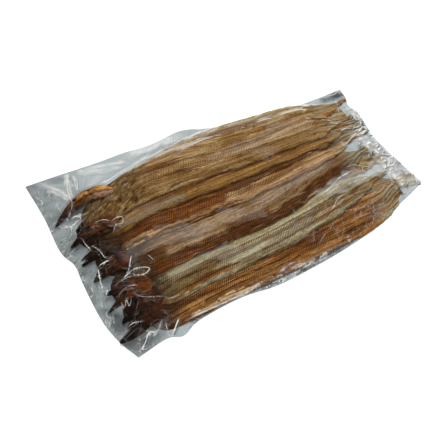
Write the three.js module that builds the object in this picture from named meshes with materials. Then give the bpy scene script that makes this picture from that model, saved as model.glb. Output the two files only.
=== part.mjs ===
// A clear sealed film bag of dried split hairtail, lying flat: one closed solid of the bag's outer form.
// Millimetres, +Z up. +X runs from the heads to the tails, +Y to the bag's far long side.
// Every length and place below is in the plane that the bag lies on; the origin is then set at the
// middle of the bag's box, on that plane.

import * as THREE from 'three';

// Bag: the four edges of the film, each from its first corner to its second.
const HEAD_EDGE = [[-233, -160], [-243, -131], [-248, -100], [-247, -36], [-245, -5], [-252, 19],
  [-250, 88], [-252, 158]];
const TAIL_EDGE = [[221, -113], [222, -59], [226, -8], [238, 36], [243, 56], [241, 74], [249, 90],
  [256, 114]];
const NEAR_EDGE = [[-233, -160], [-193, -155], [-178, -161], [-157, -153], [-95, -150], [-50, -157],
  [0, -157], [65, -153], [104, -147], [138, -141], [165, -130], [190, -123], [221, -113]];
const FAR_EDGE = [[-252, 158], [-200, 156], [-146, 153], [-104, 153], [-73, 149], [-45, 152],
  [-17, 155], [4, 149], [32, 136], [70, 129], [150, 118], [190, 114], [256, 114]];
const RIM_HEIGHT = 1.2;          // top film, bottom film and seal together
const FILM_CLEARANCE = 1.2;      // how far the top film stands off what it covers

// Split fish: what all of them share.
const FLESH_THICKNESS = 6.4;
const EDGE_SHARE = 0.45;         // thickness near a side edge, as a share of the middle
const EDGE_ROUNDING = 2.2;       // width over which a side edge is rounded off
const SPINE_HEIGHT = 1.6;
const SPINE_HALF_WIDTH = 2.4;
const FRONT_ROUNDING = 26;       // length over which the cut front end widens
const FRONT_THICKNESS_SHARE = 0.3;
const FRONT_THIN_LENGTH = 75;    // length over which the front thickens to the full body
const TAIL_TAPER_START = 0.79;   // share of the length at which the body starts to narrow
const TAIL_TAPER_END = 0.96;     // share from which it is as narrow as the tip
const TAIL_TIP_SHARE = 0.14;     // width of the tip, as a share of the widest
const TAIL_THICKNESS_SHARE = 0.5;
const EDGE_CURL = 0.8;           // how far the dried side edges stand up

// Each fish lies along a middle line, from its front end to the end of its tail. spine is where its
// backbone runs, in half widths from that line, and tip is its tail's width where that differs.
// Each top fish lies over the one before it.
const LOW_FISH = [
  { halfWidth: 31, spine: 0, tip: 0.6, line: [[-192, 64], [-100, 78], [0, 94], [100, 89], [222, 72]] },
  { halfWidth: 30, spine: 0, tip: 0.5, line: [[-226, 30], [-100, 30], [0, 34], [100, 30], [225, 36]] },
  { halfWidth: 30, spine: 0, tip: 0.5, line: [[-222, -20], [-100, -24], [0, -24], [100, -24],
    [160, -36], [208, -43]] },
  { halfWidth: 29, spine: 0, tip: 0.4, line: [[-224, -72], [-100, -80], [0, -84], [100, -84],
    [160, -92], [216, -101]] },
  { halfWidth: 26, spine: 0, tip: 0.4, line: [[-224, -104], [-100, -114], [0, -118], [100, -112],
    [172, -108]] },
];
const TOP_FISH = [
  { halfWidth: 24, spine: 0.1, tip: 0.62, line: [[-204, -124], [-170, -124], [-100, -124], [-30, -127],
    [40, -126], [100, -124], [150, -118], [183, -104]] },
  { halfWidth: 27, spine: -0.25, tip: 0.2, line: [[-204, -94], [-170, -96], [-100, -97], [-30, -97],
    [40, -92], [100, -84], [150, -76], [190, -72]] },
  { halfWidth: 27, spine: -0.6, tip: 0.28, line: [[-205, -47], [-170, -50], [-110, -53], [-40, -54],
    [10, -53], [50, -46], [90, -36], [140, -30], [175, -25], [209, -19]] },
  { halfWidth: 26, spine: 0.1, tip: 0.35, line: [[-208, 7], [-170, 4], [-100, 2], [-30, -2],
    [40, -3], [100, -1], [150, 5], [190, 12], [222, 14]] },
  { halfWidth: 29, spine: 0.1, tip: 0.25, line: [[-214, 28], [-170, 32], [-100, 36], [-20, 35],
    [60, 33], [130, 32], [190, 32], [230, 28]] },
  { halfWidth: 32, spine: -0.2, line: [[-188, 66], [-160, 68], [-110, 82], [-70, 92], [-10, 99],
    [30, 100], [90, 94], [140, 89], [185, 82], [214, 80], [246, 90]] },
  { halfWidth: 35, spine: 0, line: [[-212, 45], [-170, 56], [-120, 68], [-70, 69], [-10, 63],
    [50, 57], [120, 53], [180, 50], [233, 46]] },
];

// Heads: long and beaked, each from the tip of the snout to the back of the gill cover. bend is how
// far the middle bows to the far side.
const HEAD_HALF_WIDTH = 12;
const HEAD_THICKNESS = 8.4;
const HEAD_OUTLINE = [[0, 0.12], [0.1, 0.29], [0.25, 0.49], [0.4, 0.66], [0.55, 0.8], [0.75, 0.96],
  [0.9, 0.95], [1, 0.7]];        // share of the length, share of the half width
const LOW_HEADS = [
  { tip: [-238, -12], back: [-182, 2], size: 0.75, bend: 0 },
  { tip: [-224, 44], back: [-165, 44], size: 0.8, bend: 0 },
  { tip: [-226, -70], back: [-172, -66], size: 0.9, bend: 0 },
  { tip: [-228, -120], back: [-176, -118], size: 1, bend: 0 },
];
const TOP_HEADS = [
  { tip: [-243, 65], back: [-153, 80], size: 1, bend: 12 },
  { tip: [-239, 22], back: [-172, 24], size: 1, bend: 3 },
  { tip: [-236, -6], back: [-182, -10], size: 0.8, bend: 2 },
  { tip: [-235, -42], back: [-182, -40], size: 1.2, bend: 5 },
  { tip: [-231, -68], back: [-178, -88], size: 0.95, bend: 3 },
  { tip: [-230, -112], back: [-178, -109], size: 1.15, bend: 3 },
  { tip: [-243, -134], back: [-182, -124], size: 1.1, bend: -3 },
  { tip: [-238, -91], back: [-184, -98], size: 0.8, bend: 3 },
];

// Creases: stiff folds of the empty film that stand up from the flat, along a straight line.
const CREASES = [
  { from: [-234, 151], to: [-208, 104], height: 2, halfWidth: 4 },
  { from: [-194, 150], to: [-210, 92], height: 2, halfWidth: 4 },
  { from: [-174, 135], to: [-192, 103], height: 1.6, halfWidth: 4 },
  { from: [-231, -156], to: [-195, -142], height: 2, halfWidth: 4 },
  { from: [-190, -154], to: [-176, -143], height: 2.4, halfWidth: 5 },
  { from: [205, -10], to: [222, -8], height: 1.6, halfWidth: 4 },
  { from: [205, -30], to: [220, -32], height: 1.6, halfWidth: 4 },
  { from: [198, -58], to: [212, -62], height: 1.6, halfWidth: 4 },
  { from: [196, -84], to: [212, -84], height: 1.6, halfWidth: 4 },
  { from: [194, -112], to: [213, -112], height: 1.6, halfWidth: 4 },
  { from: [222, 98], to: [250, 108], height: 2, halfWidth: 6 },
];

// Grid of the top face, and how far a fish and the film bridge the hollows under them, in passes.
const CELLS_ALONG = 90;
const CELLS_ACROSS = 50;
const FISH_PASSES = 1;
const LOOSE_PASSES = 9;
const TIGHT_PASSES = 1;          // near the heads and past the tails, where the film clings
const TIGHT_BEFORE = [-176, -150];
const TIGHT_AFTER = [165, 190];

const FILM_COLOUR = 0xa5adad;

function edgeCurve(points) {
  return new THREE.CatmullRomCurve3(points.map(([x, y]) => new THREE.Vector3(x, y, 0)), false, 'centripetal');
}

// The y at x of a smooth curve through points that are listed by rising x.
function smoothLineAt(points, x) {
  const last = points.length - 1;
  let i = 0;
  while (i < last - 1 && x > points[i + 1][0]) i += 1;
  const slope = (a, b) => (points[b][1] - points[a][1]) / (points[b][0] - points[a][0]);
  const span = points[i + 1][0] - points[i][0];
  const slopeStart = slope(Math.max(i - 1, 0), i + 1) * span;
  const slopeEnd = slope(i, Math.min(i + 2, last)) * span;
  const t = THREE.MathUtils.clamp((x - points[i][0]) / span, 0, 1);
  const t2 = t * t;
  const t3 = t2 * t;
  return (2 * t3 - 3 * t2 + 1) * points[i][1] + (t3 - 2 * t2 + t) * slopeStart
    + (3 * t2 - 2 * t3) * points[i + 1][1] + (t3 - t2) * slopeEnd;
}

// Thickness that one split fish adds at (x, y), 0 beside it.
function fishThickness(fish, x, y) {
  const start = fish.line[0][0];
  const end = fish.line[fish.line.length - 1][0];
  if (x <= start || x >= end) return 0;
  const along = (x - start) / (end - start);
  const front = Math.min((x - start) / FRONT_ROUNDING, 1);
  const taper = THREE.MathUtils.smoothstep(along, TAIL_TAPER_START, TAIL_TAPER_END);
  const tip = fish.tip ?? TAIL_TIP_SHARE;
  const halfWidth = fish.halfWidth * Math.sqrt(1 - (1 - front) ** 2) * (1 - (1 - tip) * taper);
  const offset = y - smoothLineAt(fish.line, x);
  const side = Math.abs(offset) / halfWidth;
  if (side >= 1) return 0;
  const toEdge = Math.min((halfWidth - Math.abs(offset)) / EDGE_ROUNDING, 1);
  const crown = EDGE_SHARE + (1 - EDGE_SHARE) * (1 - side * side);
  const full = THREE.MathUtils.smoothstep(x - start, 0, FRONT_THIN_LENGTH);
  const thin = (1 - (1 - TAIL_THICKNESS_SHARE) * taper) * (1 - (1 - FRONT_THICKNESS_SHARE) * (1 - full));
  const fromSpine = (offset - fish.spine * halfWidth) / SPINE_HALF_WIDTH;
  const spine = SPINE_HEIGHT * Math.exp(-fromSpine * fromSpine);
  const curl = EDGE_CURL * THREE.MathUtils.smoothstep(side, 0.7, 1);
  return ((FLESH_THICKNESS * crown + spine) * Math.sqrt(1 - (1 - toEdge) ** 2) + curl) * thin;
}

// The share of the half width at a share of a head's length.
function outlineAt(along) {
  let i = 1;
  while (i < HEAD_OUTLINE.length - 1 && along > HEAD_OUTLINE[i][0]) i += 1;
  const [[a, low], [b, high]] = [HEAD_OUTLINE[i - 1], HEAD_OUTLINE[i]];
  return THREE.MathUtils.mapLinear(along, a, b, low, high);
}

// A head rises from its snout to the gill cover and is round across.
function headThickness(head, x, y) {
  const dx = head.back[0] - head.tip[0];
  const dy = head.back[1] - head.tip[1];
  const length = Math.hypot(dx, dy);
  const along = ((x - head.tip[0]) * dx + (y - head.tip[1]) * dy) / (length * length);
  if (along <= 0 || along >= 1) return 0;
  const middle = head.bend * 4 * along * (1 - along);
  const lateral = ((y - head.tip[1]) * dx - (x - head.tip[0]) * dy) / length - middle;
  const share = outlineAt(along);
  const side = Math.abs(lateral) / (HEAD_HALF_WIDTH * head.size * share);
  return side >= 1 ? 0 : HEAD_THICKNESS * head.size * share * Math.sqrt(1 - side * side);
}

function creaseHeight(crease, x, y) {
  const [ax, ay] = crease.from;
  const [dx, dy] = [crease.to[0] - ax, crease.to[1] - ay];
  const along = THREE.MathUtils.clamp(((x - ax) * dx + (y - ay) * dy) / (dx * dx + dy * dy), 0, 1);
  const distance = Math.hypot(x - ax - along * dx, y - ay - along * dy);
  return crease.height * Math.exp(-((distance / crease.halfWidth) ** 2));
}

// Points of the top face: the four edges blended into a grid, then raised to the film's height.
function topGrid() {
  const [head, tail, near, far] = [HEAD_EDGE, TAIL_EDGE, NEAR_EDGE, FAR_EDGE].map(edgeCurve);
  const grid = [];
  for (let i = 0; i <= CELLS_ALONG; i += 1) {
    const u = i / CELLS_ALONG;
    const nearPoint = near.getPointAt(u);
    const farPoint = far.getPointAt(u);
    const column = [];
    for (let j = 0; j <= CELLS_ACROSS; j += 1) {
      const v = j / CELLS_ACROSS;
      const headPoint = head.getPointAt(v);
      const tailPoint = tail.getPointAt(v);
      const blend = (axis) => (1 - v) * nearPoint[axis] + v * farPoint[axis]
        + (1 - u) * headPoint[axis] + u * tailPoint[axis]
        - (1 - v) * ((1 - u) * near.points[0][axis] + u * tail.points[0][axis])
        - v * ((1 - u) * far.points[0][axis] + u * far.points[far.points.length - 1][axis]);
      column.push(new THREE.Vector3(blend('x'), blend('y'), RIM_HEIGHT));
    }
    grid.push(column);
  }
  return grid;
}

const isInner = (i, j) => i > 0 && j > 0 && i < CELLS_ALONG && j < CELLS_ACROSS;

// A skin over the floor that spans its hollows, wider with every pass. The rim stays where it is.
function bridge(floor, passes) {
  let skin = floor;
  for (let pass = 0; pass < passes; pass += 1) {
    const last = skin;
    skin = last.map((column, i) => column.map((height, j) => {
      if (!isInner(i, j)) return height;
      const around = last[i - 1][j] + last[i + 1][j] + column[j - 1] + column[j + 1];
      return Math.max(floor[i][j], around / 4);
    }));
  }
  return skin;
}

// Lays fish and heads one after another, each on what lies there already.
function layPile(grid) {
  let ground = grid.map((column) => column.map(() => 0));
  const lay = (items, thicknessOf) => items.forEach((item) => {
    const base = bridge(ground, FISH_PASSES);
    ground = ground.map((column, i) => column.map((height, j) => {
      const thickness = thicknessOf(item, grid[i][j].x, grid[i][j].y);
      return thickness > 0 ? base[i][j] + thickness : height;
    }));
  });
  lay(LOW_FISH, fishThickness);
  lay(LOW_HEADS, headThickness);
  lay(TOP_FISH, fishThickness);
  lay(TOP_HEADS, headThickness);
  return ground;
}

// The film rests on the pile and is drawn straight over the hollows, with its rim held down.
function layFilm(grid) {
  const { smoothstep } = THREE.MathUtils;
  const pile = layPile(grid);
  const floor = grid.map((column, i) => column.map((p, j) => {
    const folds = CREASES.reduce((total, crease) => total + creaseHeight(crease, p.x, p.y), 0);
    return RIM_HEIGHT + (isInner(i, j) ? FILM_CLEARANCE + pile[i][j] + folds : 0);
  }));
  const loose = bridge(floor, LOOSE_PASSES);
  const tight = bridge(floor, TIGHT_PASSES);
  grid.forEach((column, i) => column.forEach((p, j) => {
    const cling = 1 - smoothstep(p.x, ...TIGHT_BEFORE) + smoothstep(p.x, ...TIGHT_AFTER);
    p.z = THREE.MathUtils.lerp(loose[i][j], tight[i][j], cling);
  }));
}

function bagGeometry() {
  const grid = topGrid();
  layFilm(grid);
  const rowLength = CELLS_ACROSS + 1;
  const at = (i, j) => i * rowLength + j;
  const positions = grid.flat().flatMap((p) => [p.x, p.y, p.z]);
  const faces = [];
  for (let i = 0; i < CELLS_ALONG; i += 1) {
    for (let j = 0; j < CELLS_ACROSS; j += 1) {
      faces.push(at(i, j), at(i + 1, j), at(i + 1, j + 1), at(i, j), at(i + 1, j + 1), at(i, j + 1));
    }
  }
  // The rim, anticlockwise from the near head corner, then the same loop on the ground below it.
  const rim = [];
  for (let i = 0; i < CELLS_ALONG; i += 1) rim.push(at(i, 0));
  for (let j = 0; j < CELLS_ACROSS; j += 1) rim.push(at(CELLS_ALONG, j));
  for (let i = CELLS_ALONG; i > 0; i -= 1) rim.push(at(i, CELLS_ACROSS));
  for (let j = CELLS_ACROSS; j > 0; j -= 1) rim.push(at(0, j));
  const ground = positions.length / 3;
  const outline = rim.map((k) => new THREE.Vector2(positions[3 * k], positions[3 * k + 1]));
  outline.forEach((p) => positions.push(p.x, p.y, 0));
  rim.forEach((k, n) => {
    const next = (n + 1) % rim.length;
    faces.push(ground + n, ground + next, rim[next], ground + n, rim[next], k);
  });
  for (const [a, b, c] of THREE.ShapeUtils.triangulateShape(outline, [])) {
    faces.push(ground + a, ground + c, ground + b);
  }
  const geometry = new THREE.BufferGeometry();
  geometry.setAttribute('position', new THREE.Float32BufferAttribute(positions, 3));
  geometry.setIndex(faces);
  geometry.computeVertexNormals();
  return geometry;
}

function bag() {
  const geometry = bagGeometry();
  geometry.computeBoundingBox();
  const middle = geometry.boundingBox.getCenter(new THREE.Vector3());
  geometry.translate(-middle.x, -middle.y, 0);
  const material = new THREE.MeshStandardMaterial({ color: FILM_COLOUR, roughness: 0.2, metalness: 0 });
  const mesh = new THREE.Mesh(geometry, material);
  mesh.name = 'bag';
  return mesh;
}

const pack = new THREE.Group();
pack.add(bag());

export default pack;
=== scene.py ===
"""A clear sealed film bag of dried split hairtail, lying flat with its heads to the left.

Shapes are worked out in millimetres on the plane that the bag lies on, in the same layout as the
CAD solid, and turned into metres in the CAD frame when a mesh is made.
"""

import math
from functools import reduce

import bpy
import numpy as np
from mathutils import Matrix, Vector


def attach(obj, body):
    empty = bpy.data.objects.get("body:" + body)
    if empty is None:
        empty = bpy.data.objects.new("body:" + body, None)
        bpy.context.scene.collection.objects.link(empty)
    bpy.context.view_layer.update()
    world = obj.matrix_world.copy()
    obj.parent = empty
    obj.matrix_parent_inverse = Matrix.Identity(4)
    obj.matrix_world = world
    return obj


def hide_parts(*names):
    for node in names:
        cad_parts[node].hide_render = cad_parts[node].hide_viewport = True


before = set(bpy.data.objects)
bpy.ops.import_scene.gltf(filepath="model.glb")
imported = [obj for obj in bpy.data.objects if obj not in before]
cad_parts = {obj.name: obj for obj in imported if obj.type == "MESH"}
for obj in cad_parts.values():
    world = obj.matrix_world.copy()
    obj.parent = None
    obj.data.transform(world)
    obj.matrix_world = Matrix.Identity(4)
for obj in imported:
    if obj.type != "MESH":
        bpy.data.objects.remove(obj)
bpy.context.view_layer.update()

MM = 0.001

# ---- camera, lamps and floor
CAMERA_PLACE = (-330.6, -498.8, 596.9)  # mm in the CAD frame
CAMERA_HEADING = math.radians(30.83)  # clockwise from +Y, seen from above
CAMERA_DOWN = math.radians(48.0)
FOCAL_PIXELS = 620.0
PHOTO_PIXELS = 447.0
SENSOR_MM = 36.0
# name, place in m, side of the square in m, watts
LAMPS = [("key", (0.8, 0.9, 1.5), 0.9, 48), ("fill", (-0.6, -0.9, 1.5), 1.4, 30)]
SKY_STRENGTH = 0.035
FLOOR_HALF_SIZE = 6.0  # m

# ---- the bag's film
HEAD_EDGE = [(-233, -160), (-243, -131), (-248, -100), (-247, -36), (-245, -5), (-252, 19),
             (-250, 88), (-252, 158)]
TAIL_EDGE = [(221, -113), (222, -59), (226, -8), (238, 36), (243, 56), (241, 74), (249, 90),
             (256, 114)]
NEAR_EDGE = [(-233, -160), (-193, -155), (-178, -161), (-157, -153), (-95, -150), (-50, -157),
             (0, -157), (65, -153), (104, -147), (138, -141), (165, -130), (190, -123), (221, -113)]
FAR_EDGE = [(-252, 158), (-200, 156), (-146, 153), (-104, 153), (-73, 149), (-45, 152),
            (-17, 155), (4, 149), (32, 136), (70, 129), (150, 118), (190, 114), (256, 114)]
RIM_HEIGHT = 0.9
FILM_CLEARANCE = 0.7
BOTTOM_FILM_HEIGHT = 0.25
FILM_CELLS = (380, 236)  # quads along and across
BOTTOM_FILM_CELLS = (190, 118)
SEAL_CELLS = 6  # quads from the edge over which the film rises
# The film spans wide hollows over the fish and clings at both ends: passes of bridged().
SPAN_PASSES = 260
CLING_PASSES = 16
HEAD_CLING = (-150, -176)  # x over which it goes from spanning to clinging
TAIL_CLING = (165, 190)
HEAD_MARGIN = (-165, -240)  # x over which painted shade darkens it towards its edge at the heads
HEAD_MARGIN_SHADE = 0.25
LEAST_SHEEN = 0.002
PLEATS_START = (0.165, 0.195)  # m, x over which the pleats at the tails begin
# What each point of the film carries: distance to the nearest crease, the strength of its painted glint
# (below 0: a painted dark shade line), the strength of painted milky sheen and of painted shade, and how
# finely rippled it is.
FILM_VALUES = ("crease", "crease_glint_and_shade", "sheen", "dark", "crumple")
NO_CREASE = 9.0

# ---- the split fish
FLESH_THICKNESS = 6.4
EDGE_SHARE = 0.45
EDGE_ROUNDING = 2.2
SPINE_HEIGHT = 1.6
SPINE_HALF_WIDTH = 2.4
FRONT_ROUNDING = 26.0
FRONT_THICKNESS_SHARE = 0.3
FRONT_THIN_LENGTH = 75.0
TAIL_TAPER_START = 0.79
TAIL_TAPER_END = 0.96
TAIL_THICKNESS_SHARE = 0.5
RAGGED_BODY = 0.035  # share of the half width by which the edge is uneven
RAGGED_TAIL = 0.3
UNEVENNESS = 0.16  # the same for the thickness
EDGE_CURL = 0.4
MOST_CURL = 2
RIB_PITCH = 2.5
RIB_LEAN = 0.5
RIB_HEIGHT = 0.22
RIB_REACH = 19.0  # from the backbone
RIB_FADE = 6  # the last part of that reach, over which the ribs fade
PLAIN_EDGE = 4  # the same towards the fish's edge
STRAIGHT_END = 40  # the ribs lean less this near to the ends
END_GAP = 0.3
LAYER_GAP = 0.25
FISH_REST_PASSES = 30  # of bridged(), for how a fish or a head spans the hollows under it
HEAD_REST_PASSES = 12
DRIED_SPECULAR = 0.25
# Rows of points to a rib, and points across the upper and the lower face.
LOW_FISH_MESH = (1, 20, 6)
TOP_FISH_MESH = (4, 44, 8)
# What each point carries: mm from the front, mm from the backbone, -1 to 1 across, mm to the edge.
FISH_VALUES = ("along", "across", "share", "edge")

# Fish from the bottom up, each laid over the ones before it. The low ones show only edges and tails.
# spine: where the backbone lies across the fish, -1 near edge to 1 far edge.
# lines: dark lines along the fish, mm from the backbone.
# bands: (from, to across the fish, -1 to 1; from, to along it in mm; colour; strength).
# tip: width of the tail's end as a share of the full width.
# gut: how far from the front the opened belly reaches, mm.
# line: the fish's middle, from its front to its tail.
LOW_FISH = [
    dict(name="low_1", half_width=31, tone="olive", tip=0.6,
     line=[(-192, 64), (-100, 78), (0, 94), (100, 89), (222, 72)]),
    dict(name="low_2", half_width=30, tone="brown", tip=0.5,
     line=[(-226, 30), (-100, 30), (0, 34), (100, 30), (225, 36)]),
    dict(name="low_3", half_width=30, tone="brown", tip=0.5,
     line=[(-222, -20), (-100, -24), (0, -24), (100, -24), (160, -36), (208, -43)]),
    dict(name="low_4", half_width=29, tone="brown", tip=0.4,
     line=[(-224, -72), (-100, -80), (0, -84), (100, -84), (160, -92), (216, -101)]),
    dict(name="low_5", half_width=26, tone="russet", tip=0.4,
     line=[(-224, -104), (-100, -114), (0, -118), (100, -112), (172, -108)]),
]
TOP_FISH = [
    dict(name="top_1", half_width=24, spine=0.1, lines=[0, 2, 9, -9, -15], tone="orange", tip=0.62,
     bands=[(-1.0, -0.72, 52, 150, (196, 168, 128), 0.8), (0.2, 0.8, 30, 200, (112, 64, 26), 0.7),
            (-0.5, 0.5, 180, 330, (134, 84, 38), 0.5), (-1.0, -0.5, 330, 400, (134, 112, 66), 0.6)],
     line=[(-204, -124), (-170, -124), (-100, -124), (-30, -127), (40, -126), (100, -124),
           (150, -118), (183, -104)]),
    dict(name="top_2", half_width=27, spine=-0.25, lines=[0, -2, -12, 10], tone="green", tip=0.2,
     bands=[(-1.0, -0.62, 20, 130, (118, 74, 34), 0.8), (-0.3, -0.05, 20, 300, (104, 76, 42), 0.7),
            (-0.85, -0.3, 260, 380, (132, 88, 42), 0.6), (0.55, 0.8, 60, 200, (92, 66, 34), 0.6)],
     line=[(-204, -94), (-170, -96), (-100, -97), (-30, -97), (40, -92), (100, -84),
           (150, -76), (190, -72)]),
    dict(name="top_3", half_width=27, spine=-0.6, lines=[0, 8, -5, -9], tone="mauve", tip=0.28,
     bands=[(-1.0, -0.3, 35, 425, (70, 37, 11), 1.0), (-1.0, -0.6, 45, 125, (116, 60, 18), 0.85),
            (-0.45, 0.4, 28, 68, (80, 49, 18), 0.95), (-1.0, -0.86, 270, 380, (176, 150, 106), 0.7),
            (-0.35, 0.15, 140, 215, (92, 60, 28), 0.75)],
     line=[(-205, -47), (-170, -50), (-110, -53), (-40, -54), (10, -53), (50, -46),
           (90, -36), (140, -30), (175, -25), (209, -19)]),
    dict(name="top_4", half_width=26, spine=0.1, lines=[-3, 3, -14], tone="pink", tip=0.35,
     bands=[(-0.62, 0.75, 10, 185, (98, 52, 12), 0.95), (-1.0, -0.78, 0, 210, (50, 30, 15), 0.85),
            (-0.4, 0.0, 190, 225, (104, 66, 28), 0.7), (-0.05, 0.4, 170, 440, (74, 40, 14), 0.9)],
     line=[(-208, 7), (-170, 4), (-100, 2), (-30, -2), (40, -3), (100, -1), (150, 5),
           (190, 12), (222, 14)]),
    dict(name="top_5", half_width=29, spine=0.1, lines=[0, 4, -9], tone="brown", tip=0.25,
     bands=[(-0.9, -0.45, 40, 150, (112, 98, 74), 0.8), (-1.0, -0.88, 0, 440, (76, 46, 22), 0.7),
            (0.2, 0.8, 120, 170, (84, 50, 22), 0.6), (-0.3, 0.3, 400, 450, (140, 88, 40), 0.6)],
     line=[(-214, 28), (-170, 32), (-100, 36), (-20, 35), (60, 33), (130, 32), (190, 32),
           (230, 28)]),
    dict(name="top_6", half_width=32, spine=-0.2, lines=[0, 4, 17], tone="olive",
     bands=[(0.1, 0.4, 185, 275, (126, 88, 40), 0.7), (0.5, 1.0, 40, 130, (112, 84, 46), 0.7),
            (-1.0, 1.0, 405, 460, (142, 92, 36), 0.9), (0.55, 1.0, 150, 380, (150, 134, 98), 0.6)],
     line=[(-188, 66), (-160, 68), (-110, 82), (-70, 92), (-10, 99), (30, 100), (90, 94),
           (140, 89), (185, 82), (214, 80), (246, 90)]),
    dict(name="top_7", half_width=35, lines=[8, 10, -9, -12], tone="tan", gut=120,
     bands=[(-0.95, -0.35, 70, 440, (122, 92, 52), 0.75), (0.25, 0.6, 60, 150, (118, 76, 32), 0.7),
            (-0.95, -0.75, 132, 160, (78, 48, 22), 0.9), (-0.4, -0.2, 262, 290, (76, 42, 20), 0.8),
            (0.28, 0.5, 260, 420, (112, 74, 38), 0.5)],
     line=[(-212, 45), (-170, 56), (-120, 68), (-70, 69), (-10, 63), (50, 57), (120, 53),
           (180, 50), (233, 46)]),
]
# What a fish has where its entry says nothing else.
PLAIN_FISH = dict(spine=0.0, lines=[3, -3], bands=[], tip=0.14)
FISH = [{**PLAIN_FISH, **fish} for fish in LOW_FISH + TOP_FISH]

TONES = {  # flesh, streak, painted edge shade and spine line, as display colours
    "tan": [(160, 134, 94), (126, 94, 56), (88, 52, 22), (64, 35, 15)],
    "olive": [(158, 138, 98), (126, 98, 58), (82, 54, 24), (64, 38, 15)],
    "green": [(154, 145, 113), (122, 108, 76), (76, 51, 24), (58, 34, 14)],
    "mauve": [(138, 112, 82), (106, 78, 48), (76, 42, 16), (46, 24, 10)],
    "pink": [(170, 138, 100), (132, 98, 64), (72, 42, 16), (56, 29, 12)],
    "brown": [(136, 102, 56), (106, 72, 32), (76, 44, 18), (56, 31, 12)],
    "russet": [(118, 74, 36), (82, 48, 18), (76, 42, 18), (42, 23, 10)],
    "orange": [(158, 112, 62), (112, 72, 34), (76, 44, 18), (52, 28, 12)],
}

# ---- the heads
HEAD_MESH = (72, 48)  # rings along the head, points round it
HEAD_HALF_WIDTH = 12.0
HEAD_HALF_THICKNESS = 4.2
# Place along the head, 0 snout to 1 back, and the share of the half width or half thickness there.
HEAD_UPPER = [(0, 0.1), (0.1, 0.28), (0.25, 0.5), (0.4, 0.7), (0.55, 0.84), (0.75, 1), (0.9, 0.95),
              (1, 0.7)]
HEAD_LOWER = [(0, 0.14), (0.1, 0.3), (0.25, 0.48), (0.4, 0.62), (0.55, 0.76), (0.75, 0.92),
              (0.9, 0.95), (1, 0.7)]
HEAD_THICK = [(0, 0.2), (0.15, 0.45), (0.5, 0.9), (0.8, 1), (1, 0.8)]
BOXINESS = 0.85  # below 1 the cross-section is fuller than an ellipse
SNOUT_ROUNDING = 0.02
BACK_ROUNDING = 0.16
EYE_ALONG = 0.43
EYE_ACROSS = 0.3
SOCKET_RADIUS = 4.2
BALL_RADIUS = 3.4
GILL_EDGE = 0.66
HEAD_RESTS = (0.08, 0.35, 0.6, 0.85)  # places along the head where it can rest on what is under it

# Each head from the tip of its snout to the back of its gill cover, the low ones first.
# bend: how far the middle bows to the far side, mm. split: how far back the mouth slit runs.
# skin: colours of the jaw and the gill cover. front: from and to where the first turns into the
# second. lobe: colour of a pale lobe on the near side.
LOW_HEADS = [
    dict(name="head_low_1", tip=(-238, -12), back=(-182, 2), size=0.75),
    dict(name="head_low_2", tip=(-224, 44), back=(-165, 44), size=0.8),
    dict(name="head_low_3", tip=(-226, -70), back=(-172, -66), size=0.9),
    dict(name="head_low_4", tip=(-228, -120), back=(-176, -118), size=1.0),
]
TOP_HEADS = [
    dict(name="head_1", tip=(-243, 65), back=(-153, 80), size=1.0, bend=12,
     split=0.97, skin=[(74, 38, 22), (206, 148, 78)], front=(0.3, 0.55),
     lobe=(150, 116, 98)),
    dict(name="head_2", tip=(-239, 22), back=(-172, 24), size=1.0, bend=3,
     skin=[(48, 26, 12), (104, 58, 22)]),
    dict(name="head_3", tip=(-236, -6), back=(-182, -10), size=0.8, bend=2,
     skin=[(40, 27, 16), (72, 46, 24)]),
    dict(name="head_4", tip=(-235, -42), back=(-182, -40), size=1.2, bend=5,
     skin=[(40, 21, 10), (88, 42, 14)]),
    dict(name="head_5", tip=(-231, -68), back=(-178, -88), size=0.95, bend=3,
     skin=[(40, 20, 10), (112, 58, 18)]),
    dict(name="head_7", tip=(-230, -112), back=(-178, -109), size=1.15, bend=3,
     skin=[(36, 18, 10), (74, 36, 16)]),
    dict(name="head_8", tip=(-243, -134), back=(-182, -124), size=1.1, bend=-3,
     skin=[(34, 18, 10), (72, 37, 15)]),
    dict(name="head_6", tip=(-238, -91), back=(-184, -98), size=0.8, bend=3,
     skin=[(60, 40, 16), (112, 58, 18)]),
]
# What a head has where its entry says nothing else.
PLAIN_HEAD = dict(bend=0, split=0.5, skin=[(34, 22, 14), (70, 42, 20)], front=(0.15, 0.6))
HEADS = [{**PLAIN_HEAD, **head} for head in LOW_HEADS + TOP_HEADS]
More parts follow.
